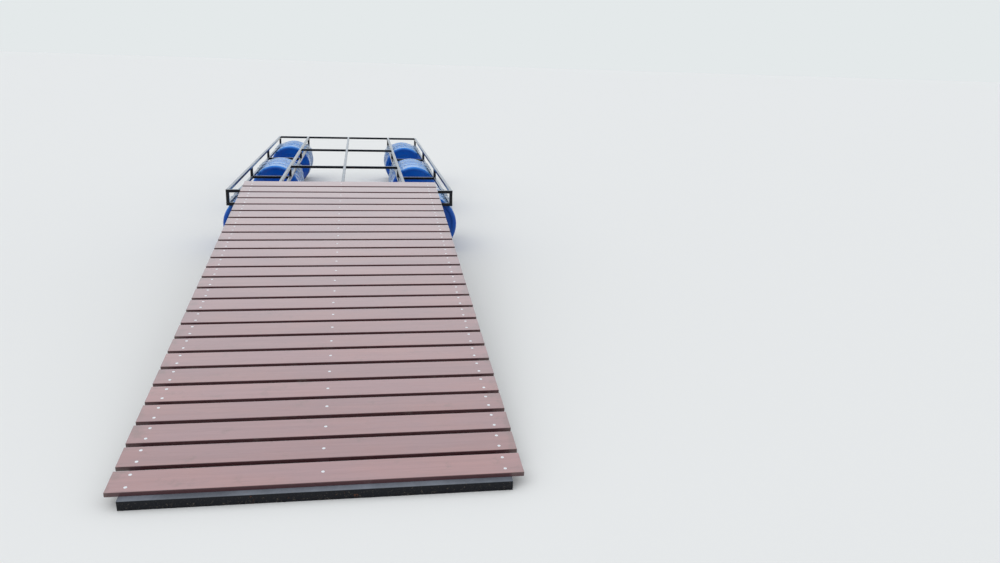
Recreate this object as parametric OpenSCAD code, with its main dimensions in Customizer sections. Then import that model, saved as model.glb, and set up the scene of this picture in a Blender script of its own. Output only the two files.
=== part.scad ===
// Floating jetty drawn up on land: a planked gangway that leans on a welded frame carried by plastic drums.
// X runs across the jetty, Y from the shore end to the lake end, Z up. Millimetres.

/* [Drums] */
// Outside diameter of a drum
drum_d = 581; // [480:1:700]
// Length of a drum over its two heads
drum_len = 935; // [780:5:1125]
// Radius of the round shoulder between wall and head
shoulder_r = 30; // [20:1:40]
// Width of the flat rim round a head
rim_w = 10; // [6:1:20]
// Depth of the plain head below its rim
plain_depth = 14; // [6:1:20]
// Depth of the filler head below its rim
filler_depth = 5; // [3:1:12]
// Distance from the rim to the sunk disc in the middle of the filler head
disc_inset = 72; // [50:1:90]
// Depth of the disc below the filler head
disc_depth = 7; // [3:1:12]
// Depth of the two plug wells below the filler head
well_depth = 22; // [16:1:30]
// Height of the plugs above the floor of their wells
plug_h = 17; // [10:1:20]
// Free space between a plug and the sides of its well
plug_gap = 3; // [2:1:10]
// Radius of the large plug
large_plug_r = 26; // [20:1:32]
// Height of the large plug's well
large_well_h = 112; // [80:1:130]
// Radius of the large well's corners
well_corner_r = 8; // [3:1:15]
// Distance from the rim to the large plug's well
large_well_inset = 10; // [8:1:20]
// Radius of the small plug
small_plug_r = 15; // [10:1:18]
// Height of the small plug's well
small_well_h = 78; // [60:1:90]
// Distance from the rim to the far side of the small plug's well
small_well_inset = 105; // [80:1:120]
// Height of the channel that runs from the small well up to the rim, where it ends
channel_end_h = 28; // [16:1:40]
// Height of the mould seam that stands up across a head
seam_h = 1.5; // [0.5:0.5:3]

/* [Pontoon frame] */
// Length of the welded frame
pontoon_len = 5760; // [4800:10:7000]
// Width of the welded frame
pontoon_w = 2220; // [1900:10:2700]
// Width of one drum cradle over its rails
cradle_w = 480; // [400:5:540]
// Height of the frame, from under the cradle rails to the top of the upper rails
frame_h = 158; // [140:2:240]
// Side of the square tube
tube = 30; // [20:1:40]
// Radius of the tube's long edges
tube_edge_r = 3; // [1:0.5:5]
// Bays between the post stations
bays = 3; // [2:1:4]
// Free length between a drum and the bar across the end of its cradle
drum_end_gap = 8; // [3:1:20]

/* [Rope lashings] */
// Diameter of the rope
rope_d = 8; // [5:1:12]
// Distance of each turn of rope from the drum's far head
turns_at = [75, 240, 335, 440, 650]; // [60:5:690]
// Shift of the turns on the near, middle and far drum of the left row
left_shift = [-20, 25, 0]; // [-20:5:40]
// Shift of the turns on the near, middle and far drum of the right row
right_shift = [0, -15, 35]; // [-20:5:40]

/* [Gangway] */
// Number of planks
plank_count = 26; // [10:1:30]
// Length of a plank, across the gangway
plank_len = 1870; // [1500:10:2260]
// Width of a plank
plank_w = 162; // [120:1:180]
// Thickness of a plank
plank_t = 24; // [18:1:40]
// Open gap between two planks
plank_gap = 31; // [8:1:40]
// Side of the square beams under the planks
beam = 50; // [40:1:80]
// Radius of the beams' long edges
beam_edge_r = 4; // [1:0.5:6]
// Overhang of the planks past each side beam
side_overhang = 60; // [20:5:150]
// Length of the shore end bar that shows in front of the first plank
front_ledge = 36; // [10:1:50]
// Length of the gangway that lies past the edge of the frame it leans on
rest_overlap = 50; // [40:5:200]
// Bars that brace the beams between the two ends
brace_bars = 2; // [1:1:4]

/* [Hidden] */
// Clearance between curved or slanted faces that rest on each other
seat_gap = 0.3;
$fn = 96;

drum_r = drum_d / 2;
head_r = drum_r - shoulder_r - rim_w;
disc_r = head_r - disc_inset;
disc_floor = filler_depth + disc_depth;
well_floor = filler_depth + well_depth;
large_well_w = 2 * (large_plug_r + plug_gap);
large_plug_x = head_r - large_well_inset - large_well_w / 2;
small_well_x = head_r - small_well_inset;
small_plug_x = small_well_x + plug_gap + small_plug_r;
rope_r = rope_d / 2;
rope_sides = 6;
rail_x = cradle_w / 2 - tube / 2;
cradle_x = pontoon_w / 2 - cradle_w / 2;

// The drums stand on the rope that passes under them
axis_z = drum_r + seat_gap + rope_d;
// Height of a cradle rail's underside above the axis, where its rounded inner edge meets the drum
seat_edge_x = cradle_w / 2 - tube + tube_edge_r;
seat_h = sqrt(pow(drum_r + seat_gap + tube_edge_r, 2) - pow(seat_edge_x, 2)) - tube_edge_r;
rail_z = axis_z + seat_h;
top_z = rail_z + frame_h;
post_h = frame_h - 2 * tube;

// The gangway slopes from the ground to the top edge of the pontoon frame
plank_pitch = plank_w + plank_gap;
deck_len = plank_count * plank_pitch - plank_gap;
gangway_len = front_ledge + deck_len;
gangway_w = plank_len - 2 * side_overhang;
// It stands on the rounded lower edge of its shore bar, and leans on the rounded edge of the frame
run_between = gangway_len - rest_overlap - beam_edge_r;
drop_between = tube_edge_r + seat_gap + beam_edge_r;
rise_between = top_z - tube_edge_r - beam_edge_r;
slope = asin(rise_between / norm([run_between, drop_between])) + atan2(drop_between, run_between);
foot_y = tube_edge_r - run_between * cos(slope) - drop_between * sin(slope);

// The origin lies under the middle of the whole length
shore_y = foot_y - (beam - 2 * beam_edge_r) * sin(slope) - beam_edge_r;
lake_y = pontoon_len;
origin_y = (shore_y + lake_y) / 2;

// The planks lie in three groups of about the same length
third = ceil(plank_count / 3);

SIDES = ["left", "right"];
PLACES = ["near", "middle", "far"];
function side_sign(side) = side == "left" ? -1 : 1;

// Middle of post station i along the frame, from 0 at the shore end
function station_y(i) = tube / 2 + i * (pontoon_len - tube) / bays;
// Near head of a drum along the frame
function drum_y(place) =
  place == "near" ? tube + drum_end_gap
  : place == "far" ? pontoon_len - tube - drum_end_gap - drum_len
  : (pontoon_len - drum_len) / 2;

function turn_shift(side, place) =
  (side == "left" ? left_shift : right_shift)[search([place], PLACES)[0]];

// Everything is drawn with the shore edge of the pontoon at Y 0, then moved to the origin
module placed() {
  translate([0, -origin_y, 0]) children();
}

// A gangway piece is drawn flat, from the shore end at Y 0 and from its underside at Z 0
module on_slope() {
  placed()
    translate([0, foot_y, beam_edge_r])
      rotate([slope, 0, 0])
        translate([0, -beam_edge_r, -beam_edge_r])
          children();
}

module steel() {
  color([0.10, 0.11, 0.13]) children();
}

// Rectangle in the middle of the plane, with round corners
module rounded_rectangle(width, height, corner_r) {
  difference() {
    square([width, height], center = true);
    for (m = [0, 1], n = [0, 1])
      mirror([m, 0])
        mirror([0, n])
          translate([width / 2 - corner_r, height / 2 - corner_r])
            rounding(corner_r);
  }
}

// Cross-section of a square tube, with its long edges rounded
module tube_section(side, edge_r) {
  rounded_rectangle(side, side, edge_r);
}

// What is cut off an outer corner to leave it round: the circle's centre is at the origin
module rounding(r) {
  difference() {
    square(r + 1);
    circle(r);
  }
}

// Tubes along X, Y and Z: each starts at the middle of one end face
module tube_along_x(length, side = tube, edge_r = tube_edge_r) {
  steel() rotate([90, 0, 90]) linear_extrude(length) tube_section(side, edge_r);
}

module tube_along_y(length, side = tube, edge_r = tube_edge_r) {
  steel() rotate([-90, 0, 0]) linear_extrude(length) tube_section(side, edge_r);
}

module tube_along_z(length, side = tube, edge_r = tube_edge_r) {
  steel() linear_extrude(length) tube_section(side, edge_r);
}

// Planks from number first to number last, counted from the shore end
module planks(first, last) {
  on_slope()
    color([0.47, 0.36, 0.36])
      for (i = [first:last])
        translate([-plank_len / 2, front_ledge + (i - 1) * plank_pitch, beam])
          cube([plank_len, plank_w, plank_t]);
}

// A beam under the planks, with its middle at x
module gangway_beam(x) {
  on_slope()
    translate([x, beam, beam / 2])
      tube_along_y(gangway_len - 2 * beam, beam, beam_edge_r);
}

// A bar across the gangway's whole frame, with its middle at y
module gangway_end_bar(y) {
  on_slope()
    translate([-gangway_w / 2, y, beam / 2])
      tube_along_x(gangway_w, beam, beam_edge_r);
}

// Short bars that brace the three beams, evenly spaced between the two end bars
module gangway_brace_bars() {
  bay = (gangway_len - beam) / (brace_bars + 1);
  on_slope()
    for (i = [1:brace_bars], x = [-gangway_w / 2 + beam, beam / 2])
      translate([x, beam / 2 + i * bay, beam / 2])
        tube_along_x((gangway_w - 3 * beam) / 2, beam, beam_edge_r);
}

// An upper end bar across the pontoon at station i
module upper_end_bar(i) {
  placed()
    translate([-pontoon_w / 2, station_y(i), top_z - tube / 2])
      tube_along_x(pontoon_w);
}

// A rail between the two end bars, with its middle at x and z
module long_rail(x, z) {
  placed()
    translate([x, tube, z])
      tube_along_y(pontoon_len - 2 * tube);
}

// Bars that tie the inner rails to the centre rail at the middle stations
module upper_cross_bars() {
  inner_x = cradle_x - rail_x;
  placed()
    for (i = [1:bays - 1], x = [-inner_x + tube / 2, tube / 2])
      translate([x, station_y(i), top_z - tube / 2])
        tube_along_x(inner_x - tube);
}

// The bars across one cradle: whole ones at its ends, and short ones between its rails
module cradle_bars(side) {
  placed()
    translate([side_sign(side) * cradle_x, 0, rail_z + tube / 2]) {
      for (i = [0, bays])
        translate([-cradle_w / 2, station_y(i), 0])
          tube_along_x(cradle_w);
      for (i = [1:bays - 1])
        translate([-rail_x + tube / 2, station_y(i), 0])
          tube_along_x(2 * rail_x - tube);
    }
}

// The posts between cradle rails and upper rails, one at each station of both rails
module posts(side) {
  placed()
    for (i = [0:bays], x = [-rail_x, rail_x])
      translate([side_sign(side) * cradle_x + x, station_y(i), rail_z + tube])
        tube_along_z(post_h);
}

// Half outline of a drum: X is the radius, and Y the length from the filler head
module drum_outline() {
  difference() {
    square([drum_r, drum_len]);
    for (end = [0, 1])
      translate([0, end * drum_len])
        mirror([0, end])
          translate([drum_r - shoulder_r, shoulder_r])
            mirror([0, 1])
              rounding(shoulder_r);
    polygon([
      [-1, -1],
      [head_r + 1, -1],
      [head_r - filler_depth, filler_depth],
      [disc_r, filler_depth],
      [disc_r - disc_depth, disc_floor],
      [-1, disc_floor]
    ]);
    translate([0, drum_len])
      polygon([
        [-1, 1],
        [head_r + 1, 1],
        [head_r - plain_depth, -plain_depth],
        [-1, -plain_depth]
      ]);
  }
}

// The small plug's well, whose floor climbs to the rim in a channel that narrows
module small_well() {
  climb_x = small_well_x + 2 * (small_plug_r + plug_gap);
  intersection() {
    translate([0, 0, -1])
      linear_extrude(well_floor + 2)
        polygon([
          [small_well_x, -small_well_h / 2],
          [drum_r, -channel_end_h / 2],
          [drum_r, channel_end_h / 2],
          [small_well_x, small_well_h / 2]
        ]);
    rotate([90, 0, 0])
      linear_extrude(small_well_h, center = true)
        polygon([
          [small_well_x - 1, -1],
          [drum_r + 1, -1],
          [drum_r, 0],
          [climb_x, well_floor],
          [small_well_x - 1, well_floor]
        ]);
  }
}

// The large plug's well
module large_well() {
  translate([-large_plug_x, 0, -1])
    linear_extrude(well_floor + 1)
      rounded_rectangle(large_well_w, large_well_h, well_corner_r);
}

// A filler plug, with a slot for the key across it
module plug(radius) {
  key_slot = [radius * 1.3, radius / 3, plug_h / 3];
  translate([0, 0, well_floor - plug_h])
    difference() {
      cylinder(h = plug_h + 1, r = radius);
      translate([-key_slot.x / 2, -key_slot.y / 2, -1])
        cube([key_slot.x, key_slot.y, key_slot.z + 1]);
    }
}

// The mould seam that stands up from a head's floor, from x to x
module seam(from_x, to_x, floor_z) {
  width = 2 * seam_h;
  translate([from_x, -width / 2, floor_z - seam_h])
    cube([to_x - from_x, width, seam_h + 1]);
}

// A closed drum along Z, with its filler head at the bottom
module upright_drum() {
  color([0.05, 0.24, 0.60]) {
    difference() {
      rotate_extrude() drum_outline();
      large_well();
      small_well();
    }
    translate([-large_plug_x, 0, 0]) plug(large_plug_r);
    translate([small_plug_x, 0, 0]) plug(small_plug_r);
    seam(1 + disc_depth - disc_r, min(small_well_x, disc_r - disc_depth) - 1, disc_floor);
    translate([0, 0, drum_len])
      mirror([0, 0, 1])
        seam(plain_depth - head_r, head_r - plain_depth, plain_depth);
  }
}

// A drum lies with its filler head to the shore, but the near right one lies the other way round
module drum(side, place) {
  turned = side == "right" && place == "near";
  placed()
    translate([side_sign(side) * cradle_x, drum_y(place) + (turned ? drum_len : 0), axis_z])
      rotate([turned ? 90 : -90, 0, 0])
        upright_drum();
}

// Points of one turn of rope, drawn tight round a drum and over the outer top edges of its rails.
// They are rings of [centre of bend, radius of bend, angle], and a straight stretch joins two bends
// at the angle where it touches both.
drum_bend = drum_r + seat_gap + rope_r;
edge_bend = tube_edge_r + seat_gap + rope_r;
edge_centre = [cradle_w / 2 - tube_edge_r, seat_h + tube - tube_edge_r];
edge_angle = atan2(edge_centre.y, edge_centre.x);
edge_spread = acos((drum_bend - edge_bend) / norm(edge_centre));
low_angle = edge_angle - edge_spread;
high_angle = edge_angle + edge_spread;

// Rings of a bend, whose flat stretches touch the bend's true circle
function bend(centre, radius, from, to, steps) =
  let (step = (to - from) / steps)
    [
      [centre, radius, from],
      for (i = [0:steps - 1]) [centre, radius / cos(step / 2), from + (i + 0.5) * step],
      [centre, radius, to]
    ];

turn_rings = concat(
  bend([0, 0], drum_bend, 180 - low_angle, 360 + low_angle, 18),
  bend(edge_centre, edge_bend, low_angle, high_angle, 3),
  bend([0, 0], drum_bend, high_angle, 180 - high_angle, 3),
  bend([-edge_centre.x, edge_centre.y], edge_bend, 180 - high_angle, 180 - low_angle, 3)
);

// The rope's flat sides touch its true circle
function ring_point(ring, k) =
  let (
    around = (k + 0.5) * 360 / rope_sides,
    side_r = rope_r / cos(180 / rope_sides),
    reach = ring[1] + side_r * cos(around)
  )
    [ring[0].x + reach * cos(ring[2]), ring[0].y + reach * sin(ring[2]), side_r * sin(around)];

module rope_turn() {
  count = len(turn_rings);
  function corner(i, k) = (i % count) * rope_sides + k % rope_sides;
  polyhedron(
    points = [for (ring = turn_rings, k = [0:rope_sides - 1]) ring_point(ring, k)],
    faces = [
      for (i = [0:count - 1], k = [0:rope_sides - 1])
        [corner(i, k), corner(i, k + 1), corner(i + 1, k + 1), corner(i + 1, k)]
    ]
  );
}

// The turns of rope that hold one drum up against its cradle
module lashing(side, place) {
  placed()
    color([0.82, 0.86, 0.90])
      for (distance = turns_at)
        translate([
          side_sign(side) * cradle_x,
          drum_y(place) + drum_len - distance - turn_shift(side, place),
          axis_z
        ])
          rotate([90, 0, 0]) rope_turn();
}

planks(1, third);  // shore_planks
planks(third + 1, 2 * third);  // middle_planks
planks(2 * third + 1, plank_count);  // lake_planks
gangway_beam(-(gangway_w - beam) / 2);  // gangway_left_beam
gangway_beam(0);  // gangway_middle_beam
gangway_beam((gangway_w - beam) / 2);  // gangway_right_beam
gangway_end_bar(beam / 2);  // gangway_near_bar
gangway_end_bar(gangway_len - beam / 2);  // gangway_far_bar
gangway_brace_bars();
upper_end_bar(0);  // upper_near_bar
upper_end_bar(bays);  // upper_far_bar
long_rail(0, top_z - tube / 2);  // upper_centre_rail
upper_cross_bars();
for (side = SIDES) {
  outer_x = side_sign(side) * (cradle_x + rail_x);
  inner_x = side_sign(side) * (cradle_x - rail_x);
  upper_axis_z = top_z - tube / 2;
  lower_axis_z = rail_z + tube / 2;
  long_rail(outer_x, upper_axis_z);
  long_rail(inner_x, upper_axis_z);
  long_rail(outer_x, lower_axis_z);
  long_rail(inner_x, lower_axis_z);
  cradle_bars(side);
  posts(side);
  for (place = PLACES) {
    drum(side, place);
    lashing(side, place);
  }
}
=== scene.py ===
import math
import random

import bmesh
import bpy
from mathutils import Matrix, Vector, noise


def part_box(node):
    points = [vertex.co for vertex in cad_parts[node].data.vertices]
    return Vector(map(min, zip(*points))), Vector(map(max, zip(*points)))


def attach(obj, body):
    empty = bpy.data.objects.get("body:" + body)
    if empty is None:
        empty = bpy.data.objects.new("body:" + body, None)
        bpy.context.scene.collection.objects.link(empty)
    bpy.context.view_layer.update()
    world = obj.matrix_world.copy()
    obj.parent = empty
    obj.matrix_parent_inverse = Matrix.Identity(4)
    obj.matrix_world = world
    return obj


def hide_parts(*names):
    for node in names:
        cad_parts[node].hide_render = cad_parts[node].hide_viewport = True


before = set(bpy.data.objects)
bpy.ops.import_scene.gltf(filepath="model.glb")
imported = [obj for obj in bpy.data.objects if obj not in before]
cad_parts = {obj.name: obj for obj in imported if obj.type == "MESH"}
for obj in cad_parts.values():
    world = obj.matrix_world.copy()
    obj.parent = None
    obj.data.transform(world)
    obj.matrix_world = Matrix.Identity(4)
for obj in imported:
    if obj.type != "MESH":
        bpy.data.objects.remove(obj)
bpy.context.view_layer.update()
random.seed(11)
print("frame loaded")

# Camera, where the photograph was taken from: metres and radians in the frame's axes
cameraStand = {
    "place": (0.1888, -8.8111, 1.9441),
    "turn": -0.1698,
    "down": 0.2582,
    "roll": 0.0312,
    "lens": 30.02,
    "sensor": 36,
}


def setCamera(stand):
    data = bpy.data.cameras.new("camera")
    data.lens = stand["lens"]
    data.sensor_width = stand["sensor"]
    data.clip_end = 300
    camera = bpy.data.objects.new("camera", data)
    bpy.context.scene.collection.objects.link(camera)
    camera.matrix_world = (
        Matrix.Translation(stand["place"])
        @ Matrix.Rotation(stand["turn"], 4, "Z")
        @ Matrix.Rotation(math.pi / 2 - stand["down"], 4, "X")
        @ Matrix.Rotation(stand["roll"], 4, "Z")
    )
    bpy.context.scene.camera = camera


setCamera(cameraStand)
print("camera set")


# Corner points of every solid of a CAD node, one list for each solid
def solidsOf(nodeName):
    bm = bmesh.new()
    bm.from_mesh(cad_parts[nodeName].data)
    bmesh.ops.remove_doubles(bm, verts=bm.verts, dist=1e-5)
    solids, seen = [], set()
    for start in bm.verts:
        if start in seen:
            continue
        seen.add(start)
        group, waiting = [], [start]
        while waiting:
            vert = waiting.pop()
            group.append(vert.co.copy())
            for edge in vert.link_edges:
                other = edge.other_vert(vert)
                if other not in seen:
                    seen.add(other)
                    waiting.append(other)
        solids.append(group)
    bm.free()
    return solids


# Middle and half sizes of a solid along three axes
def measure(points, axes):
    middle, halves = Vector(), []
    for axis in axes:
        reach = [point.dot(axis) for point in points]
        middle += axis * (max(reach) + min(reach)) / 2
        halves.append((max(reach) - min(reach)) / 2)
    return middle, halves


def middleOf(nodeName):
    low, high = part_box(nodeName)
    return (low + high) / 2


# Matrix that puts a piece drawn along X, Y and Z at a place, along other axes
def placed(axes, place):
    turn = Matrix([[axis[row] for axis in axes] for row in range(3)]).to_4x4()
    return Matrix.Translation(place) @ turn


levelAxes = [Vector((1, 0, 0)), Vector((0, 1, 0)), Vector((0, 0, 1))]
alongSlope = (middleOf("gangway_far_bar") - middleOf("gangway_near_bar")).normalized()
slopeAxes = [levelAxes[0], alongSlope, levelAxes[0].cross(alongSlope)]


# Makes a finished piece of a bmesh, at the origin, riding on the jetty. Where its rounded edges are
# evened, the flat faces beside them are shaded flat.
def finishPiece(name, bm, material, replaced=(), sharpAngle=38, evened=False):
    bmesh.ops.recalc_face_normals(bm, faces=bm.faces)
    for face in bm.faces:
        face.smooth = True
    mesh = bpy.data.meshes.new(name)
    bm.to_mesh(mesh)
    bm.free()
    mesh.set_sharp_from_angle(angle=math.radians(sharpAngle))
    mesh.materials.append(material)
    piece = bpy.data.objects.new(name, mesh)
    bpy.context.scene.collection.objects.link(piece)
    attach(piece, "root")
    if replaced:
        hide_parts(*replaced)
    if evened:
        piece.modifiers.new("shading", "WEIGHTED_NORMAL").keep_sharp = True


# A mesh that is drawn once and copied into the pieces
def keepTemplate(name, bm):
    bmesh.ops.recalc_face_normals(bm, faces=bm.faces)
    mesh = bpy.data.meshes.new(name)
    bm.to_mesh(mesh)
    bm.free()
    return mesh


# Adds a copy of a template mesh to a bmesh, under a matrix
def addCopy(bm, template, matrix):
    moved = template.copy()
    moved.transform(matrix)
    bm.from_mesh(moved)
    bpy.data.meshes.remove(moved)


def roundEdges(bm, edges, radius, steps, clamped=False):
    bmesh.ops.bevel(
        bm,
        geom=edges,
        offset=radius,
        segments=steps,
        profile=0.5,
        affect="EDGES",
        clamp_overlap=clamped,
        material=-1,
    )


# A closed shape turned about Z, from an outline of (radius, height) that starts and ends on Z
def turnedShape(outline, steps):
    bm = bmesh.new()
    verts = [bm.verts.new((radius, 0, height)) for radius, height in outline]
    edges = [bm.edges.new(pair) for pair in zip(verts, verts[1:])]
    bmesh.ops.spin(
        bm,
        geom=verts + edges,
        cent=(0, 0, 0),
        axis=(0, 0, 1),
        dvec=(0, 0, 0),
        angle=2 * math.pi,
        steps=steps,
        use_merge=True,
        use_duplicate=False,
    )
    bmesh.ops.remove_doubles(bm, verts=bm.verts, dist=1e-6)
    bmesh.ops.recalc_face_normals(bm, faces=bm.faces)
    return bm


# Points of an outline whose corners (across, up, radius of the corner) are rounded by arcs
def roundedOutline(corners, steps):
    points = []
    for i, (x, y, radius) in enumerate(corners):
        here = Vector((x, y))
        if radius == 0 or i in (0, len(corners) - 1):
            points.append((x, y))
            continue
        before = (Vector(corners[i - 1][:2]) - here).normalized()
        after = (Vector(corners[i + 1][:2]) - here).normalized()
        half = before.angle(after) / 2
        centre = here + (before + after).normalized() * radius / math.sin(half)
        start = here + before * radius / math.tan(half) - centre
        sweep = start.angle_signed(here + after * radius / math.tan(half) - centre)
        for k in range(steps + 1):
            angle = -sweep * k / steps
            point = centre + Matrix.Rotation(angle, 2) @ start
            points.append((point.x, point.y))
    return points


# Materials


class Nodes:
    def __init__(self, name):
        self.material = bpy.data.materials.new(name)
        self.material.use_nodes = True
        self.tree = self.material.node_tree
        self.shader = self.tree.nodes["Principled BSDF"]

    def add(self, kind, **settings):
        node = self.tree.nodes.new(kind)
        for key, value in settings.items():
            setattr(node, key, value)
        return node

    def link(self, source, target):
        self.tree.links.new(source, target)

    # Gives a socket a number, a colour or what another node puts out
    def feed(self, socket, value):
        if isinstance(value, (float, int)):
            socket.default_value = value
        elif isinstance(value, tuple):
            socket.default_value = (*value, 1)
        else:
            self.link(value, socket)

    # Gives the material's shader its values, with _ for a space in a socket's name
    def set(self, **values):
        for key, value in values.items():
            self.feed(self.shader.inputs[key.replace("_", " ")], value)

    # Object coordinates, stretched by a scale for each axis
    def place(self, scale=(1, 1, 1)):
        mapping = self.add("ShaderNodeMapping")
        mapping.inputs["Scale"].default_value = scale
        self.link(self.add("ShaderNodeTexCoord").outputs["Object"], mapping.inputs["Vector"])
        return mapping.outputs["Vector"]

    def split(self, vector, index):
        node = self.add("ShaderNodeSeparateXYZ")
        self.link(vector, node.inputs[0])
        return node.outputs[index]

    def height(self):
        return self.split(self.place(), 2)

    def facingUp(self):
        return self.split(self.add("ShaderNodeNewGeometry").outputs["Normal"], 2)

    def noise(self, where, scale, detail=4, roughness=0.55):
        node = self.add("ShaderNodeTexNoise")
        node.inputs["Scale"].default_value = scale
        node.inputs["Detail"].default_value = detail
        node.inputs["Roughness"].default_value = roughness
        self.link(where, node.inputs["Vector"])
        return node.outputs["Fac"]

    # Turns a value from low to high into a value from outLow to outHigh, smoothly
    def spread(self, value, low, high, outLow=0, outHigh=1):
        node = self.add("ShaderNodeMapRange", interpolation_type="SMOOTHSTEP")
        limits = {"From Min": low, "From Max": high, "To Min": outLow, "To Max": outHigh}
        for key, number in limits.items():
            node.inputs[key].default_value = number
        self.link(value, node.inputs["Value"])
        return node.outputs["Result"]

    def calc(self, operation, first, second=0.0):
        node = self.add("ShaderNodeMath", operation=operation)
        self.feed(node.inputs[0], first)
        self.feed(node.inputs[1], second)
        return node.outputs["Value"]

    def plus(self, first, second):
        return self.calc("ADD", first, second)

    def times(self, first, second):
        return self.calc("MULTIPLY", first, second)

    def mix(self, factor, first, second):
        node = self.add("ShaderNodeMix", data_type="RGBA")
        for index, value in ((0, factor), (6, first), (7, second)):
            self.feed(node.inputs[index], value)
        return node.outputs[2]

    def bump(self, heightValue, strength, distance):
        node = self.add("ShaderNodeBump")
        node.inputs["Strength"].default_value = strength
        node.inputs["Distance"].default_value = distance
        self.link(heightValue, node.inputs["Height"])
        self.link(node.outputs["Normal"], self.shader.inputs["Normal"])


# A scale is that of a pattern along, across and through the boards, and a tone is a range of it
boardStain = {
    "topWarm": (0.398, 0.208, 0.202),
    "topCool": (0.371, 0.212, 0.218),
    # The colour below is the boards' sides: the stain's deeper maroon, darkened further as painted
    # shade
    "edge": (0.068, 0.015, 0.019),
    "dirt": (0.175, 0.135, 0.115),
    "grainScale": (1.3, 42, 42),
    "fibreScale": (9, 340, 340),
    "checkScale": (3.5, 190, 190),
    "blotchScale": (0.7, 1.6, 1.6),
    "speckScale": 9,
    "grainTone": (0.94, 1.04),
    "fibreTone": (0.93, 1.06),
    "checkTone": (1, 0.72),
    "boardTone": (-0.045, 0.045),
    "dirtCover": 0.35,
    "endDirt": 0.16,
    "endFrom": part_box("shore_planks")[1].x,
    "endWidth": 0.09,
    "roughness": (0.28, 0.40),
    "rawBelow": 0.35,
    "polish": 1.0,
    "polishRoughness": 0.22,
    "polishIndex": 1.45,
    "haze": 1.0,
    "hazeRoughness": 0.35,
    "hazeTint": (0.98, 0.98, 1.0),
    "relief": 0.0011,
}


def stainedBoard(look):
    m = Nodes("stainedBoard")
    shade = m.add("ShaderNodeAttribute", attribute_name="boardShade").outputs["Fac"]
    offset = m.add("ShaderNodeCombineXYZ")
    m.link(m.times(shade, 37.0), offset.inputs[0])

    # A pattern drawn out along the boards, and different on each of them
    def alongBoard(scale, detail, roughness):
        shifted = m.add("ShaderNodeVectorMath", operation="ADD")
        m.link(m.place(scale), shifted.inputs[0])
        m.link(offset.outputs[0], shifted.inputs[1])
        return m.noise(shifted.outputs[0], 1.0, detail, roughness)

    grain = alongBoard(look["grainScale"], 6, 0.6)
    fibre = alongBoard(look["fibreScale"], 4, 0.65)
    checks = m.spread(alongBoard(look["checkScale"], 2, 0.5), 0.69, 0.74)
    blotch = m.noise(m.place(look["blotchScale"]), 2.2, 5, 0.6)
    top = m.mix(m.spread(blotch, 0.35, 0.65), look["topWarm"], look["topCool"])
    grainTone = m.spread(grain, 0.3, 0.7, *look["grainTone"])
    tone = m.plus(grainTone, m.spread(shade, 0, 1, *look["boardTone"]))
    tone = m.times(tone, m.spread(fibre, 0.25, 0.75, *look["fibreTone"]))
    tone = m.times(tone, m.spread(checks, 0, 1, *look["checkTone"]))
    brighten = m.add("ShaderNodeVectorMath", operation="SCALE")
    m.link(top, brighten.inputs[0])
    m.link(tone, brighten.inputs["Scale"])
    up = m.facingUp()
    # Faces that don't point up take the side colour: the stain's deeper maroon plus painted shade
    topsAndShadedSides = m.mix(m.spread(up, 0.55, 0.93), look["edge"], brighten.outputs[0])
    speckled = m.noise(m.place(), look["speckScale"], 8, 0.7)
    fromMiddle = m.calc("ABSOLUTE", m.split(m.place(), 0))
    endStart = look["endFrom"] - look["endWidth"]
    endZone = m.spread(fromMiddle, endStart, look["endFrom"], 0, look["endDirt"])
    grime = m.times(m.spread(m.plus(speckled, endZone), 0.56, 0.72), look["dirtCover"])
    sawn = m.spread(up, -0.5, 0.3, look["rawBelow"], 0)
    m.set(
        Base_Color=m.mix(grime, topsAndShadedSides, look["dirt"]),
        Roughness=m.plus(m.spread(blotch, 0.3, 0.7, *look["roughness"]), sawn),
        Coat_Weight=look["polish"],
        Coat_Roughness=look["polishRoughness"],
        Coat_IOR=look["polishIndex"],
        Sheen_Weight=look["haze"],
        Sheen_Roughness=look["hazeRoughness"],
        Sheen_Tint=look["hazeTint"],
    )
    ridges = m.calc("SUBTRACT", m.plus(grain, m.times(fibre, 0.5)), checks)
    m.bump(m.plus(ridges, m.times(blotch, 0.4)), 0.3, look["relief"])
    return m.material


steelPaint = {
    "paint": (0.006, 0.007, 0.011),
    # The up-facing colour below is partly settled dust, partly a painted sky sheen on the tubes'
    # tops
    "dustAndSkySheen": (0.32, 0.35, 0.41),
    "rust": (0.16, 0.055, 0.022),
    "mud": (0.20, 0.165, 0.125),
    "speckScale": 38,
    "cloudScale": 3.2,
    "chipScale": 17,
    "splashScale": 95,
    "dustAndSheenCover": (0.36, 0.68),
    "rustCover": 0.75,
    "mudCover": 0.85,
    "mudTop": 0.13,
    "roughness": (0.18, 0.34),
    "gloss": 0.12,
    "varnish": 0.6,
    "varnishRoughness": 0.2,
    "varnishIndex": 1.25,
    "relief": 0.0009,
}


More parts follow.
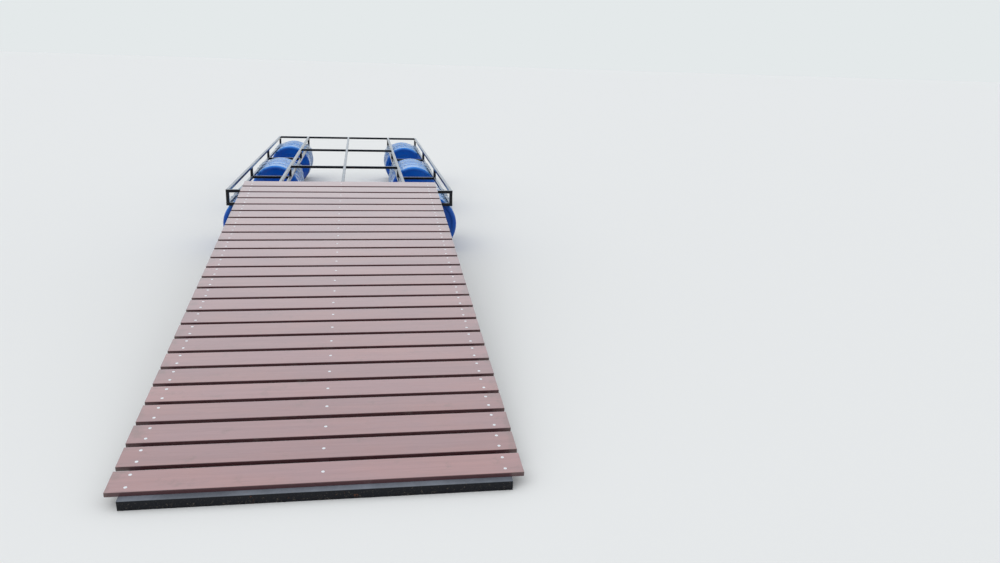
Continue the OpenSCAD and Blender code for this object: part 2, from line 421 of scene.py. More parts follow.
def blackPaint(look):
    m = Nodes("blackPaint")
    speck = m.noise(m.place(), look["speckScale"], 6, 0.7)
    cloud = m.noise(m.place(), look["cloudScale"], 4)
    cover = m.spread(cloud, 0.35, 0.75, *look["dustAndSheenCover"])
    # Tops turn blue-grey: partly settled dust, partly painted sky sheen
    paintDustAndSheen = m.mix(m.times(m.spread(m.facingUp(), 0.4, 0.95), cover), look["paint"], look["dustAndSkySheen"])
    chips = m.noise(m.place(), look["chipScale"], 9, 0.75)
    chips = m.plus(chips, m.spread(cloud, 0.5, 0.75, 0, 0.05))
    rusty = m.times(m.spread(chips, 0.63, 0.69), look["rustCover"])
    low = m.spread(m.height(), 0.0, look["mudTop"], 0.10, 0.0)
    splashes = m.plus(m.noise(m.place(), look["splashScale"], 9, 0.8), low)
    muddy = m.times(m.spread(splashes, 0.65, 0.75), m.spread(low, 0, 0.03))
    paintDustAndSheen = m.mix(m.times(muddy, look["mudCover"]), paintDustAndSheen, look["mud"])
    marks = m.calc("MAXIMUM", rusty, muddy)
    m.set(
        Base_Color=m.mix(rusty, paintDustAndSheen, look["rust"]),
        Roughness=m.plus(m.spread(speck, 0.3, 0.7, *look["roughness"]), m.times(marks, 0.5)),
        Specular_IOR_Level=look["gloss"],
        Coat_Weight=look["varnish"],
        Coat_Roughness=look["varnishRoughness"],
        Coat_IOR=look["varnishIndex"],
    )
    m.bump(m.plus(speck, m.times(marks, 1.5)), 0.2, look["relief"])
    return m.material


drumPlastic = {
    "blue": (0.002, 0.070, 0.430),
    "chalk": (0.004, 0.110, 0.520),
    # The colour below is the drums' lighter tops: partly sun bleaching, partly a painted sky sheen
    "bleachedAndSkySheen": (0.030, 0.280, 0.850),
    "mud": (0.135, 0.108, 0.090),
    "scratch": (0.120, 0.300, 0.640),
    "cloudScale": 2.4,
    "speckScale": 55,
    "driftScale": 4,
    "driftStretch": (1, 0.4, 1),
    "splashScale": 5,
    "scratchScale": 3,
    "scratchStretch": (9, 2, 9),
    "chalkCover": 0.7,
    "bleachAndSheenCover": 0.9,
    "splashTop": 0.26,
    "spotTop": 0.40,
    "mudCover": 0.92,
    "scratchWidth": (0.0006, 0.0022),
    "scratchCover": 0.45,
    "seamHeight": middleOf("drum_left_near").z,
    "seamWidth": (0.0006, 0.002),
    "roughness": (0.17, 0.28),
    "gloss": 0.18,
    "polish": 0.4,
    "polishRoughness": 0.14,
    "polishIndex": 1.27,
    "haze": 0.4,
    "hazeRoughness": 0.35,
    "hazeTint": (0.45, 0.75, 1.0),
    "relief": 0.0012,
}


def bluePlastic(look):
    m = Nodes("bluePlastic")
    height = m.height()
    cloud = m.noise(m.place(), look["cloudScale"], 5)
    speck = m.noise(m.place(), look["speckScale"], 8, 0.75)
    chalky = m.mix(m.spread(cloud, 0.35, 0.7, 0, look["chalkCover"]), look["blue"], look["chalk"])
    drift = m.noise(m.place(look["driftStretch"]), look["driftScale"], 4)
    drift = m.spread(drift, 0.3, 0.7, -0.12, 0.12)
    # Up-facing plastic turns lighter blue: partly sun bleaching, partly painted sky sheen
    bleachAndSheen = m.spread(m.plus(m.facingUp(), drift), 0.05, 1.0, 0, look["bleachAndSheenCover"])
    fadedWithTopSheen = m.mix(bleachAndSheen, chalky, look["bleachedAndSkySheen"])
    patches = m.spread(m.noise(m.place(), look["splashScale"], 9, 0.72), 0.36, 0.62)
    splash = m.times(m.spread(height, 0.02, look["splashTop"], 1, 0), patches)
    spotZone = m.spread(height, 0.05, look["spotTop"], 0.8, 0.03)
    spots = m.times(m.spread(speck, 0.55, 0.68), spotZone)
    dirty = m.plus(m.times(splash, 0.8), m.times(spots, 0.5))
    dirty = m.calc("MINIMUM", dirty, look["mudCover"])
    lines = m.noise(m.place(look["scratchStretch"]), look["scratchScale"], 3, 0.6)
    lines = m.calc("ABSOLUTE", m.calc("SUBTRACT", lines, 0.5))
    scratchZone = m.spread(m.noise(m.place(), 6, 4), 0.52, 0.62)
    scratches = m.times(m.spread(lines, *look["scratchWidth"], 1, 0), scratchZone)
    fadedWithTopSheen = m.mix(m.times(scratches, look["scratchCover"]), fadedWithTopSheen, look["scratch"])
    seamGap = m.calc("ABSOLUTE", m.calc("SUBTRACT", height, look["seamHeight"]))
    seam = m.spread(seamGap, *look["seamWidth"], 1, 0)
    m.set(
        Base_Color=m.mix(dirty, fadedWithTopSheen, look["mud"]),
        Roughness=m.plus(m.spread(cloud, 0.3, 0.7, *look["roughness"]), m.times(dirty, 0.45)),
        Specular_IOR_Level=look["gloss"],
        Coat_Weight=look["polish"],
        Coat_Roughness=look["polishRoughness"],
        Coat_IOR=look["polishIndex"],
        Sheen_Weight=look["haze"],
        Sheen_Roughness=look["hazeRoughness"],
        Sheen_Tint=look["hazeTint"],
    )
    relief = m.plus(m.times(speck, 0.25), seam)
    m.bump(m.plus(relief, m.times(dirty, 0.8)), 0.35, look["relief"])
    return m.material


screwZinc = {
    "bright": (0.93, 0.93, 0.94),
    "dull": (0.74, 0.73, 0.72),
    "stainScale": 160,
    "roughness": (0.22, 0.42),
}


def zincScrew(look):
    m = Nodes("zincScrew")
    stain = m.noise(m.place(), look["stainScale"], 5)
    m.set(
        Base_Color=m.mix(m.spread(stain, 0.4, 0.7), look["bright"], look["dull"]),
        Metallic=1.0,
        Roughness=m.spread(stain, 0.3, 0.7, *look["roughness"]),
    )
    return m.material


ropeYarn = {
    "clean": (0.66, 0.79, 0.92),
    "soiled": (0.50, 0.51, 0.48),
    "patchScale": 7,
    "fibreScale": 900,
    "soilTop": 0.22,
    "roughness": 0.78,
    "fluff": 0.3,
    "fluffRoughness": 0.5,
    "relief": 0.0006,
}


def whiteRope(look):
    m = Nodes("whiteRope")
    patches = m.noise(m.place(), look["patchScale"], 6, 0.65)
    fibre = m.noise(m.place(), look["fibreScale"], 3, 0.7)
    low = m.spread(m.height(), 0.0, look["soilTop"], 0.75, 0.0)
    soil = m.calc("MAXIMUM", m.spread(patches, 0.52, 0.78, 0.0, 0.6), low)
    m.set(
        Base_Color=m.mix(soil, look["clean"], look["soiled"]),
        Roughness=look["roughness"],
        Sheen_Weight=look["fluff"],
        Sheen_Roughness=look["fluffRoughness"],
    )
    m.bump(fibre, 0.4, look["relief"])
    return m.material


boardMaterial = stainedBoard(boardStain)
steelMaterial = blackPaint(steelPaint)
drumMaterial = bluePlastic(drumPlastic)
screwMaterial = zincScrew(screwZinc)
ropeMaterial = whiteRope(ropeYarn)
print("materials mixed")

# Deck boards: rounded edges, a little bow and cup in each, and none quite the same length
boards = {
    "edgeRound": 0.0035,
    "roundSteps": 3,
    "bendCuts": 15,
    "waves": 0.9,  # how fast the bow changes along a board
    "bow": 0.0012,
    "sink": 0.8,  # share of the bow that a board lies lower, so that none rises
    "cup": 0.0004,
    "cutShort": 0.004,
}


# Returns the board, half its width, and where a place on its warped top lies
def boardMesh(points, look):
    middle, (halfLength, halfWidth, halfThick) = measure(points, slopeAxes)
    length = 2 * halfLength - random.uniform(0, look["cutShort"])
    bm = bmesh.new()
    shade = bm.verts.layers.float.new("boardShade")
    bmesh.ops.create_cube(bm, size=1)
    bmesh.ops.scale(bm, vec=(length, 2 * halfWidth, 2 * halfThick), verts=bm.verts)
    roundEdges(bm, bm.edges, look["edgeRound"], look["roundSteps"])
    lengthwise = [e for e in bm.edges if abs(e.verts[0].co.x - e.verts[1].co.x) > halfLength]
    bmesh.ops.subdivide_edges(bm, edges=lengthwise, cuts=look["bendCuts"], use_grid_fill=True)
    own, value = random.uniform(0, 100), random.random()

    def warped(x, y, z):
        bend = noise.noise(Vector((x * look["waves"], own, 0))) * look["bow"]
        lift = (noise.noise(Vector((x * look["waves"], own, 7))) - look["sink"]) * look["bow"]
        return Vector((x, y + bend, z + lift - (y / halfWidth) ** 2 * look["cup"]))

    for vert in bm.verts:
        vert.co = warped(*vert.co)
        vert[shade] = value
    lay = placed(slopeAxes, middle)
    bmesh.ops.transform(bm, matrix=lay, verts=bm.verts)
    return keepTemplate("board", bm), halfWidth, lambda x, y: lay @ warped(x, y, halfThick)


# Screws: two at each side beam and one at the middle beam, in every board
screws = {
    "headRadius": 0.0083,
    "headHeight": 0.0012,
    "sunk": 0.001,
    "around": 10,
    "inset": 0.29,  # from the board's middle line, as a share of its width
    "wander": 0.0025,
}
sideX = middleOf("gangway_right_beam").x
screwRows = ((-sideX, -1), (-sideX, 1), (0, 0), (sideX, -1), (sideX, 1))
screwPlaces = []
for group in ("shore", "middle", "lake"):
    deck = bmesh.new()
    for solid in solidsOf(f"{group}_planks"):
        board, halfWidth, topAt = boardMesh(solid, boards)
        addCopy(deck, board, Matrix.Identity(4))
        for x, way in screwRows:
            step = way * screws["inset"] * 2 * halfWidth + random.uniform(-1, 1) * screws["wander"]
            across = x + random.uniform(-1, 1) * screws["wander"]
            screwPlaces.append(topAt(across, step))
    name, node = f"{group}Boards", f"{group}_planks"
    finishPiece(name, deck, boardMaterial, [node], evened=True)
print("boards laid")


# Screw heads: a flat dome with a round hollow
def screwHead(look):
    r, h, foot = look["headRadius"], look["headHeight"], -look["sunk"]
    dome = [(r, h * 0.3), (r * 0.8, h * 0.85), (r * 0.42, h)]
    hollow = [(r * 0.38, h * 0.15), (0, h * 0.15)]
    bm = turnedShape([(0, foot), (r, foot)] + dome + hollow, look["around"])
    return keepTemplate("screwHead", bm)


headTemplate = screwHead(screws)
screwMesh = bmesh.new()
for spot in screwPlaces:
    turned = placed(slopeAxes, spot) @ Matrix.Rotation(random.uniform(0, math.pi), 4, "Z")
    addCopy(screwMesh, headTemplate, turned)
finishPiece("deckScrews", screwMesh, screwMaterial)
print("screws driven")

# Painted steel: the frame's own tubes keep their shape and get the paint
for name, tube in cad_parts.items():
    if not name.startswith(("drum", "lashing")) and "planks" not in name:
        tube.material_slots[0].material = steelMaterial

# Weld beads round the ends of the tubes that butt against another tube
welds = {"radius": 0.0021, "ripple": 0.00045, "rings": 9, "ringShare": 0.96, "sides": 6}


def beadTemplate(name, length, look):
    outline = [(0, -length / 2)]
    for i in range(look["rings"]):
        share = i / (look["rings"] - 1)
        lump = look["ripple"] * (1 if i % 2 else -1)
        outline.append((look["radius"] + lump, (share - 0.5) * length * look["ringShare"]))
    outline.append((0, length / 2))
    bm = turnedShape(outline, look["sides"])
    across = Matrix.Rotation(math.pi / 2, 3, "Y")
    bmesh.ops.rotate(bm, cent=(0, 0, 0), matrix=across, verts=bm.verts)
    return keepTemplate(name, bm)


# The welds on the pontoon's outside are ground flush, so no bead lies past this, from its middle
frameMiddle = (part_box("upper_near_bar")[0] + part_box("upper_far_bar")[1]) / 2
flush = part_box("upper_far_bar")[1] - frameMiddle - Vector((0.001, 0.001, 0))


# Welds both ends of each solid of a node, apart from solids whose half length is over a limit
def weldEnds(bm, nodeName, axes, template, skipTop=False, inside=None, longest=None):
    for points in solidsOf(nodeName):
        middle, halves = measure(points, axes)
        if longest and max(halves) > longest:
            continue
        run = halves.index(max(halves))
        for end in (-1, 1):
            endPoint = middle + axes[run] * halves[run] * end
            for side in {0, 1, 2} - {run}:
                for way in (-1, 1):
                    if skipTop and side == 2 and way == 1:
                        continue
                    face = axes[side] * way
                    spot = endPoint + face * halves[side]
                    gap = spot - frameMiddle
                    if inside and (abs(gap.x) > inside.x or abs(gap.y) > inside.y):
                        continue
                    beadAlong = axes[3 - run - side]
                    beadAxes = [beadAlong, face.cross(beadAlong), face]
                    addCopy(bm, template, placed(beadAxes, spot))


tubeSide = 2 * measure(solidsOf("upper_near_bar")[0], levelAxes)[1][2]
beamSide = 2 * measure(solidsOf("gangway_near_bar")[0], slopeAxes)[1][2]
smallBead = beadTemplate("smallBead", tubeSide, welds)
largeBead = beadTemplate("largeBead", beamSide, welds)
pontoonWelds = bmesh.new()


def weldPontoon(nodeName, skipTop=False, longest=None):
    weldEnds(pontoonWelds, nodeName, levelAxes, smallBead, skipTop, flush, longest)


# The bars at a cradle's ends run its whole width and already have the rails' beads
for side in ("left", "right"):
    for rail in ("outer", "inner"):
        weldPontoon(f"upper_{side}_{rail}_rail", skipTop=True)
        weldPontoon(f"cradle_{side}_{rail}_rail")
    weldPontoon(f"posts_{side}")
    barsLow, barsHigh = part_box(f"cradle_{side}_bars")
    weldPontoon(f"cradle_{side}_bars", longest=(barsHigh.x - barsLow.x - tubeSide) / 2)
weldPontoon("upper_centre_rail", skipTop=True)
weldPontoon("upper_cross_bars", skipTop=True)
finishPiece("pontoonWelds", pontoonWelds, steelMaterial)
gangwayWelds = bmesh.new()
for beam in ("left_beam", "middle_beam", "right_beam", "brace_bars"):
    weldEnds(gangwayWelds, f"gangway_{beam}", slopeAxes, largeBead, skipTop=True)
finishPiece("gangwayWelds", gangwayWelds, steelMaterial)
print("steel painted and welded")

# Drums: a moulded body, its plain head, and the head with the two plug wells
drums = {
    "shoulder": 0.030,
    "rim": 0.010,
    "plainDepth": 0.014,
    "fillerDepth": 0.005,
    "discInset": 0.072,
    "discDepth": 0.007,
    "wellDepth": 0.022,
    "largeWell": (0.058, 0.112),
    "largeInset": 0.010,
    "largeCorner": 0.009,
    "smallInset": 0.105,
    "smallWell": 0.078,
    "channelEnd": 0.028,
    "channelDepth": 0.0005,
    "plugRadii": (0.026, 0.015),
    "plugGap": 0.003,
    "plugHeight": 0.017,
    "plugHollow": 0.004,
    "plugSteps": 40,
    "softEdge": 0.003,
    "softSteps": 3,
    "wellRim": 0.0016,
    "around": 144,
    "outlineSteps": 6,
    "wallRings": 20,
    "sag": 0.0016,
    "sagWaves": (4, 4, 3),
    "turned": ["right_near"],  # drums whose plain head faces the shore
}


def evaluatedBmesh(piece):
    graph = bpy.context.evaluated_depsgraph_get()
    mesh = bpy.data.meshes.new_from_object(piece.evaluated_get(graph))
    bm = bmesh.new()
    bm.from_mesh(mesh)
    bpy.data.meshes.remove(mesh)
    return bm


# Cuts one shape out of another and returns what is left
def cutOut(bm, cutter):
    pieces = []
    for name, shape in (("body", bm), ("cutter", cutter)):
        mesh = bpy.data.meshes.new(name)
        shape.to_mesh(mesh)
        shape.free()
        pieces.append(bpy.data.objects.new(name, mesh))
        bpy.context.scene.collection.objects.link(pieces[-1])
    modifier = pieces[0].modifiers.new("cut", "BOOLEAN")
    modifier.operation = "DIFFERENCE"
    modifier.solver = "EXACT"
    modifier.object = pieces[1]
    left = evaluatedBmesh(pieces[0])
    for piece in pieces:
        bpy.data.objects.remove(piece)
    return left


def largeWellCutter(place, floor, look):
    bm = bmesh.new()
    bmesh.ops.create_cube(bm, size=1)
    bmesh.ops.scale(bm, vec=(*look["largeWell"], 2 * floor), verts=bm.verts)
    upright = [e for e in bm.edges if abs(e.verts[0].co.z - e.verts[1].co.z) > floor]
    roundEdges(bm, upright, look["largeCorner"], 5)
    base = [e for e in bm.edges if min(v.co.z for v in e.verts) > floor * 0.9]
    roundEdges(bm, base, look["softEdge"], look["softSteps"])
    bmesh.ops.translate(bm, vec=(place, 0, 0), verts=bm.verts)
    return bm


# The well and the channel that climbs from it to the rim: a block whose sides are cut to a wedge
def smallWellCutter(start, climb, reach, floor, look):
    bm = bmesh.new()
    low, high, end = -floor, floor, -look["channelDepth"]
    side = [(start, low), (reach, low), (reach, end), (climb, high), (start, high)]
    block = look["smallWell"] + 0.01  # wider than the wedge
    verts = [bm.verts.new((x, -block / 2, z)) for x, z in side]
    face = bm.faces.new(verts)
    grown = bmesh.ops.extrude_face_region(bm, geom=[face])
    moved = [v for v in grown["geom"] if isinstance(v, bmesh.types.BMVert)]
    bmesh.ops.translate(bm, vec=(0, block, 0), verts=moved)
    for way in (-1, 1):
        wide, narrow = look["smallWell"] / 2 * way, look["channelEnd"] / 2 * way
        cut = bmesh.ops.bisect_plane(
            bm,
            geom=bm.verts[:] + bm.edges[:] + bm.faces[:],
            plane_co=(start, wide, 0),
            plane_no=(abs(wide - narrow), (reach - start) * way, 0),
            clear_outer=True,
        )
        rim = [e for e in cut["geom_cut"] if isinstance(e, bmesh.types.BMEdge)]
        bmesh.ops.holes_fill(bm, edges=rim)
    bmesh.ops.recalc_face_normals(bm, faces=bm.faces)
    soft = [e for e in bm.edges if min(v.co.z for v in e.verts) > -floor / 2 and e.is_manifold]
    roundEdges(bm, soft, look["softEdge"], look["softSteps"])
    return bm


# A plug that hangs down from 0: a ring round a sunk face, with a slot across both
def plugShape(radius, look):
    height = look["plugHeight"]
    face = -height + look["plugHollow"]
    outline = roundedOutline(
        [
            (0, face, 0),
            (radius * 0.66, face, 0.001),
            (radius * 0.70, -height, 0.001),
            (radius, -height, 0.002),
            (radius, 0.001, 0),
            (0, 0.001, 0),
        ],
        3,
    )
    bm = turnedShape(outline, look["plugSteps"])
    slot = bmesh.new()
    bmesh.ops.create_cube(slot, size=1)
    bmesh.ops.scale(slot, vec=(radius * 1.3, radius / 3, height * 0.9), verts=slot.verts)
    bmesh.ops.translate(slot, vec=(0, 0, -height), verts=slot.verts)
    return cutOut(bm, slot)


# A drum that stands on its plugged head, about Z
def drumTemplate(radius, length, look):
    head = radius - look["shoulder"] - look["rim"]
    disc = head - look["discInset"]
    discFloor = look["fillerDepth"] + look["discDepth"]
    wellFloor = look["fillerDepth"] + look["wellDepth"]
    soft = look["softEdge"]
    filler = roundedOutline(
        [
            (0, discFloor, 0),
            (disc - look["discDepth"], discFloor, soft * 2),
            (disc, look["fillerDepth"], soft * 2),
            (head - look["fillerDepth"], look["fillerDepth"], soft),
            (head, 0, soft),
            (radius, 0, look["shoulder"]),
            (radius, length / 2, 0),
        ],
        look["outlineSteps"],
    )
    plain = roundedOutline(
        [
            (radius, length / 2, 0),
            (radius, length, look["shoulder"]),
            (head, length, soft),
            (head - look["plainDepth"], length - look["plainDepth"], soft * 2.5),
            (0, length - look["plainDepth"], 0),
        ],
        look["outlineSteps"],
    )
    rings = look["wallRings"]  # over the middle eight tenths of its length
    wall = [(radius, length * (0.1 + 0.8 * i / rings)) for i in range(rings + 1)]
    bm = turnedShape(filler[:-1] + wall + plain[1:], look["around"])
    largePlug, smallPlug = look["plugRadii"]
    largeX = -(head - look["largeInset"] - look["largeWell"][0] / 2)
    start = head - look["smallInset"]
    smallX = start + look["plugGap"] + smallPlug
    climb = start + 2 * (smallPlug + look["plugGap"])
    bm = cutOut(bm, largeWellCutter(largeX, wellFloor, look))
    bm = cutOut(bm, smallWellCutter(start, climb, radius, wellFloor, look))
    rims = [
        edge
        for edge in bm.edges
        if edge.is_manifold
        and edge.calc_face_angle() > math.radians(40)
        and max(v.co.z for v in edge.verts) < discFloor + 0.001
        and all(abs(v.co.y) < look["largeWell"][1] / 2 + 0.002 for v in edge.verts)
    ]
    roundEdges(bm, rims, look["wellRim"], 2, clamped=True)
    for vert in bm.verts:
        x, y, z = vert.co
        inner = min(z, length - z) / look["shoulder"]
        if inner > 1 and math.hypot(x, y) > radius - 0.001:
            dent = 0.5 + 0.5 * noise.noise(vert.co * Vector(look["sagWaves"]))
            shrink = 1 - dent * look["sag"] * min(1, inner - 1) / radius
            vert.co.x *= shrink
            vert.co.y *= shrink
    for place, plugRadius in ((largeX, largePlug), (smallX, smallPlug)):
        plug = keepTemplate("plug", plugShape(plugRadius, look))
        addCopy(bm, plug, Matrix.Translation((place, 0, wellFloor)))
    return keepTemplate("drum", bm)


drumLow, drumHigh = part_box("drum_left_near")
drumRadius = (drumHigh.z - drumLow.z) / 2
drumLength = drumHigh.y - drumLow.y
oneDrum = drumTemplate(drumRadius, drumLength, drums)
for side in ("left", "right"):
    for place in ("near", "middle", "far"):
        node = f"drum_{side}_{place}"
        low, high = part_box(node)
        middle = (low + high) / 2
        turned = f"{side}_{place}" in drums["turned"]
        foot = Vector((middle.x, high.y if turned else low.y, middle.z))
        lay = Matrix.Rotation(math.radians(90 if turned else -90), 4, "X")
        drum = bmesh.new()
        addCopy(drum, oneDrum, Matrix.Translation(foot) @ lay)
        name = f"drum{side.title()}{place.title()}"
        finishPiece(name, drum, drumMaterial, [node], sharpAngle=28, evened=True)
print("drums moulded")

# Rope: three strands laid round each other, drawn along a path by a curve with a lobed outline
rope = {
    "radius": 0.0035,
    "groove": 0.0026,
    "pinch": 0.12,  # widens each strand of the outline, in radians
    "lay": 0.030,  # length of one whole turn of a strand
    "step": 0.005,
    "merge": 0.0004,
    "clearance": 0.0003,
    "lean": 0.03,  # slope of a turn along the drum, at most
    "railRound": 0.003,  # the cradle rails' rounded outer edges
    "underSteps": 300,
    "overSteps": 80,
    "railSteps": 12,
}


def ropeOutline(look):
    data = bpy.data.curves.new("ropeOutline", "CURVE")
    data.dimensions = "2D"
    spline = data.splines.new("POLY")
    corners = 9
    spline.points.add(corners - 1)
    spline.use_cyclic_u = True
    for i, point in enumerate(spline.points):
        radius = look["groove"] if i % 3 == 0 else look["radius"]
        angle = 2 * math.pi * i / corners + (0, -look["pinch"], look["pinch"])[i % 3]
        point.co = (radius * math.cos(angle), radius * math.sin(angle), 0, 1)
    outline = bpy.data.objects.new("ropeOutline", data)
    bpy.context.scene.collection.objects.link(outline)
    return outline


def lengthOf(points):
    return sum((b - a).length for a, b in zip(points, points[1:]))


# A rope's mesh along a path of points: closed paths have their ends joined
def ropeMesh(points, closed, outline, look):
    length = lengthOf(points)
    turns = round(length / look["lay"] * 3) / 3
    data = bpy.data.curves.new("rope", "CURVE")
    data.dimensions = "3D"
    data.bevel_mode = "OBJECT"
    data.bevel_object = outline
    data.use_fill_caps = not closed
    data.twist_mode = "Z_UP"
    spline = data.splines.new("POLY")
    spline.points.add(len(points) - 1)
    gone = 0
    for i, point in enumerate(points):
        if i:
            gone += (point - points[i - 1]).length
        spline.points[i].co = (*point, 1)
        spline.points[i].tilt = 2 * math.pi * turns * gone / length
    piece = bpy.data.objects.new("rope", data)
    bpy.context.scene.collection.objects.link(piece)
    bpy.context.view_layer.update()
    bm = evaluatedBmesh(piece)
    bpy.data.objects.remove(piece)
    bmesh.ops.remove_doubles(bm, verts=bm.verts, dist=look["merge"])
    return keepTemplate("rope", bm)


# Points at even steps along a path of arcs and straight stretches
def evenSteps(points, step):
    whole = lengthOf(points)
    count = max(2, round(whole / step))
    even, walked, i = [points[0].copy()], 0, 0
    for k in range(1, count):
        target = whole * k / count
        while walked + (points[i + 1] - points[i]).length < target:
            walked += (points[i + 1] - points[i]).length
            i += 1
        part = (target - walked) / (points[i + 1] - points[i]).length
        even.append(points[i].lerp(points[i + 1], part))
    even.append(points[-1].copy())
    return even


# One turn of rope round the drum and over its rails' outer edges, in the plane of X and Z. Places
# are measured from the drum's axis.
def turnPath(drumR, railCentre, look):
    gap = look["clearance"] + look["radius"]
    big, small = drumR + gap, look["railRound"] + gap
    reach = Vector((railCentre.x, railCentre.z))
    lean = math.atan2(reach.y, reach.x)
    spread = math.acos((big - small) / reach.length)
    low, high = lean - spread, lean + spread

    def arc(centre, radius, start, end, steps):
        for i in range(steps + 1):
            angle = start + (end - start) * i / steps
            x, z = radius * math.cos(angle), radius * math.sin(angle)
            yield Vector((centre[0] + x, 0, centre[1] + z))

    points = []
    points += arc((0, 0), big, math.pi - low, 2 * math.pi + low, look["underSteps"])
    points += arc(reach, small, low, high, look["railSteps"])
    points += arc((0, 0), big, high, math.pi - high, look["overSteps"])
    points += arc((-reach.x, reach.y), small, math.pi - high, math.pi - low, look["railSteps"])
    points.append(points[0].copy())
    return points


# Where a turn leaves its rail and runs down the drum's flank: a point and the ways outwards and
# down, by the distance from the rail
def flankSpot(distance, drumR, railCentre, look):
    gap = look["clearance"] + look["radius"]
    big, small = drumR + gap, look["railRound"] + gap
    straight = math.sqrt(railCentre.length_squared - (big - small) ** 2)
    low = math.atan2(railCentre.z, railCentre.x) - math.acos((big - small) / railCentre.length)
    if distance > straight:
        low -= (distance - straight) / big
    out = Vector((math.cos(low), 0, math.sin(low)))
    down = Vector((out.z, 0, -out.x))
    if distance > straight:
        return out * big, out, down
    return railCentre + out * small + down * distance, out, down


# An overhand knot laid on the turn below the rail, and its two ends. A range is drawn from, and a
# lift is off the drum.
knots = {
    "place": (0.035, 0.075),
    "size": 0.0048,
    "thick": 0.0048,
    "lift": 0.003,
    "open": 0.5,  # angle left out of the knot at each end
    "steps": 60,
    "step": 0.004,
    "longTail": (0.06, 0.12),
    "longAside": (0.010, 0.024),
    "longLift": 0.006,
    "shortTail": (0.03, 0.06),
    "shortAside": (0.012, 0.030),
    "shortLift": 0.012,
    "tailSteps": 24,
    "tailDrop": 0.03,
    "tailWave": 0.002,
    "tailBends": 60,
    "tailLift": 0.001,
}


def knotPath(look, flank):
    place, size = random.uniform(*look["place"]), look["size"]
    side = random.choice((-1, 1))
    centre, out, down = flankSpot(place, *flank)
    standOff = rope["radius"] + look["thick"] + look["lift"]
    centre = centre + out * standOff
    knot = []
    for i in range(look["steps"] + 1):
        t = math.pi + look["open"] + 2 * (math.pi - look["open"]) * i / look["steps"]
        across = side * size * (math.sin(t) + 2 * math.sin(2 * t))
        along = size * (2 * math.cos(2 * t) - math.cos(t))
        outwards = -look["thick"] * math.sin(3 * t)
        knot.append(centre + Vector((0, across, 0)) + down * along + out * outwards)

    phase = place * 900  # differs from knot to knot

    def tail(start, length, aside, lift):
        base = place + (start - centre).dot(down)
        rise = (start - centre).dot(out) + standOff
        for i in range(1, look["tailSteps"] + 1):
            gone = length * i / look["tailSteps"]
            spot, outward, _ = flankSpot(base + gone, *flank)
            ease = min(1, gone / look["tailDrop"])
            ease = ease * ease * (3 - 2 * ease)
            wave = math.sin(gone * look["tailBends"] + phase) * look["tailWave"]
            spot.y = start.y + (aside - start.y) * ease + wave * ease
            lying = lift * (gone / length) ** 2 + look["tailLift"]
            yield spot + outward * (rise * (1 - ease) + lying * ease)

    long, longAside = random.uniform(*look["longTail"]), random.uniform(*look["longAside"])
    short, shortAside = random.uniform(*look["shortTail"]), random.uniform(*look["shortAside"])
    first = list(tail(knot[0], long, -side * longAside, look["longLift"]))
    last = list(tail(knot[-1], short, side * shortAside, look["shortLift"]))
    return first[::-1] + knot + last


outlineCurve = ropeOutline(rope)
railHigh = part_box("cradle_right_outer_rail")[1]
drumAxis = middleOf("drum_right_near")
railRound = rope["railRound"]
railCorner = Vector((railHigh.x - railRound - drumAxis.x, 0, railHigh.z - railRound - drumAxis.z))
flank = (drumRadius, railCorner, rope)
oneTurn = ropeMesh(evenSteps(turnPath(*flank), rope["step"]), True, outlineCurve, rope)
for side in ("left", "right"):
    inward = Matrix.Diagonal((1 if side == "left" else -1, 1, 1, 1))
    for place in ("near", "middle", "far"):
        node = f"lashing_{side}_{place}"
        axisX = middleOf(f"drum_{side}_{place}").x
        lashing = bmesh.new()
        for points in solidsOf(node):
            along = measure(points, levelAxes)[0].y
            lean = Matrix.Identity(4)
            lean[1][0], lean[1][2] = (random.uniform(-1, 1) * rope["lean"] for _ in range(2))
            spot = Matrix.Translation((axisX, along, drumAxis.z)) @ lean
            addCopy(lashing, oneTurn, spot)
            path = evenSteps(knotPath(knots, flank), knots["step"])
            addCopy(lashing, ropeMesh(path, False, outlineCurve, rope), spot @ inward)
        name = f"lashing{side.title()}{place.title()}"
        finishPiece(name, lashing, ropeMaterial, [node], sharpAngle=60)
bpy.data.objects.remove(outlineCurve)
print("ropes tied")

# Floor and light
studio = {
    "floor": (0.84, 0.84, 0.83),
    "floorBounce": (0.42, 0.42, 0.41),
    "floorSize": 900,
    "backdrop": (0.776, 0.815, 0.823),
    "skyInGloss": (0.87, 0.94, 1.0),
    "sky": (0.94, 0.97, 1.0),
    "skyStrength": 0.86,
    "lampStrength": 0.5,
    "lampWidth": 50,
    "lampFrom": (-5, -4, 9),
}


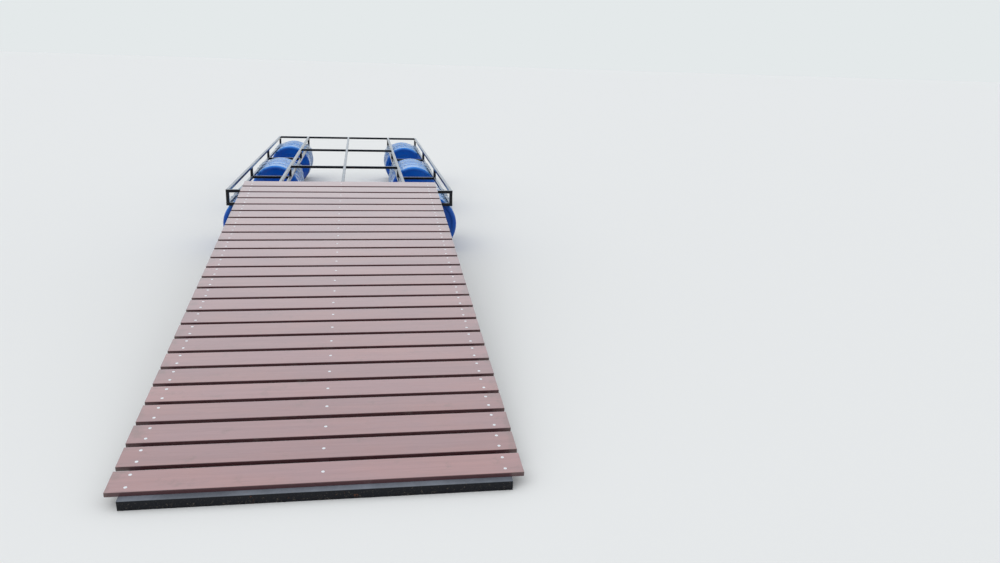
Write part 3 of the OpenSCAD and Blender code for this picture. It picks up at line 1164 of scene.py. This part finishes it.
def layFloor(look):
    bm = bmesh.new()
    bmesh.ops.create_grid(bm, x_segments=1, y_segments=1, size=look["floorSize"] / 2)
    mesh = bpy.data.meshes.new("floor")
    bm.to_mesh(mesh)
    bm.free()
    paint = Nodes("floorPaint")
    ray = paint.add("ShaderNodeLightPath").outputs
    seenFloor = paint.calc("MAXIMUM", ray["Is Camera Ray"], ray["Is Glossy Ray"])
    colour = paint.mix(seenFloor, look["floorBounce"], look["floor"])
    paint.set(Base_Color=colour, Roughness=0.9, Specular_IOR_Level=0.1)
    mesh.materials.append(paint.material)
    floor = bpy.data.objects.new("floor", mesh)
    bpy.context.scene.collection.objects.link(floor)


# The sky lights the jetty evenly; the camera and reflections see the pale backdrop
def lightScene(look):
    world = bpy.data.worlds.new("studio")
    bpy.context.scene.world = world
    world.use_nodes = True
    tree = world.node_tree
    tree.nodes.clear()
    path = tree.nodes.new("ShaderNodeLightPath")
    light = tree.nodes.new("ShaderNodeBackground")
    light.inputs["Color"].default_value = (*look["sky"], 1)
    light.inputs["Strength"].default_value = look["skyStrength"]
    last = light.outputs[0]
    for ray, colour in (("Is Glossy Ray", "skyInGloss"), ("Is Camera Ray", "backdrop")):
        seen = tree.nodes.new("ShaderNodeBackground")
        seen.inputs["Color"].default_value = (*look[colour], 1)
        both = tree.nodes.new("ShaderNodeMixShader")
        tree.links.new(path.outputs[ray], both.inputs["Fac"])
        tree.links.new(last, both.inputs[1])
        tree.links.new(seen.outputs[0], both.inputs[2])
        last = both.outputs[0]
    tree.links.new(last, tree.nodes.new("ShaderNodeOutputWorld").inputs["Surface"])
    data = bpy.data.lights.new("lamp", "SUN")
    data.energy = look["lampStrength"]
    data.angle = math.radians(look["lampWidth"])
    lamp = bpy.data.objects.new("lamp", data)
    bpy.context.scene.collection.objects.link(lamp)
    lamp.rotation_euler = (-Vector(look["lampFrom"])).to_track_quat("-Z", "Y").to_euler()


layFloor(studio)
lightScene(studio)
bpy.context.scene.view_settings.view_transform = "Standard"
print("floor laid and lights set")

# Templates that were only copied from
for mesh in [mesh for mesh in bpy.data.meshes if mesh.users == 0]:
    bpy.data.meshes.remove(mesh)
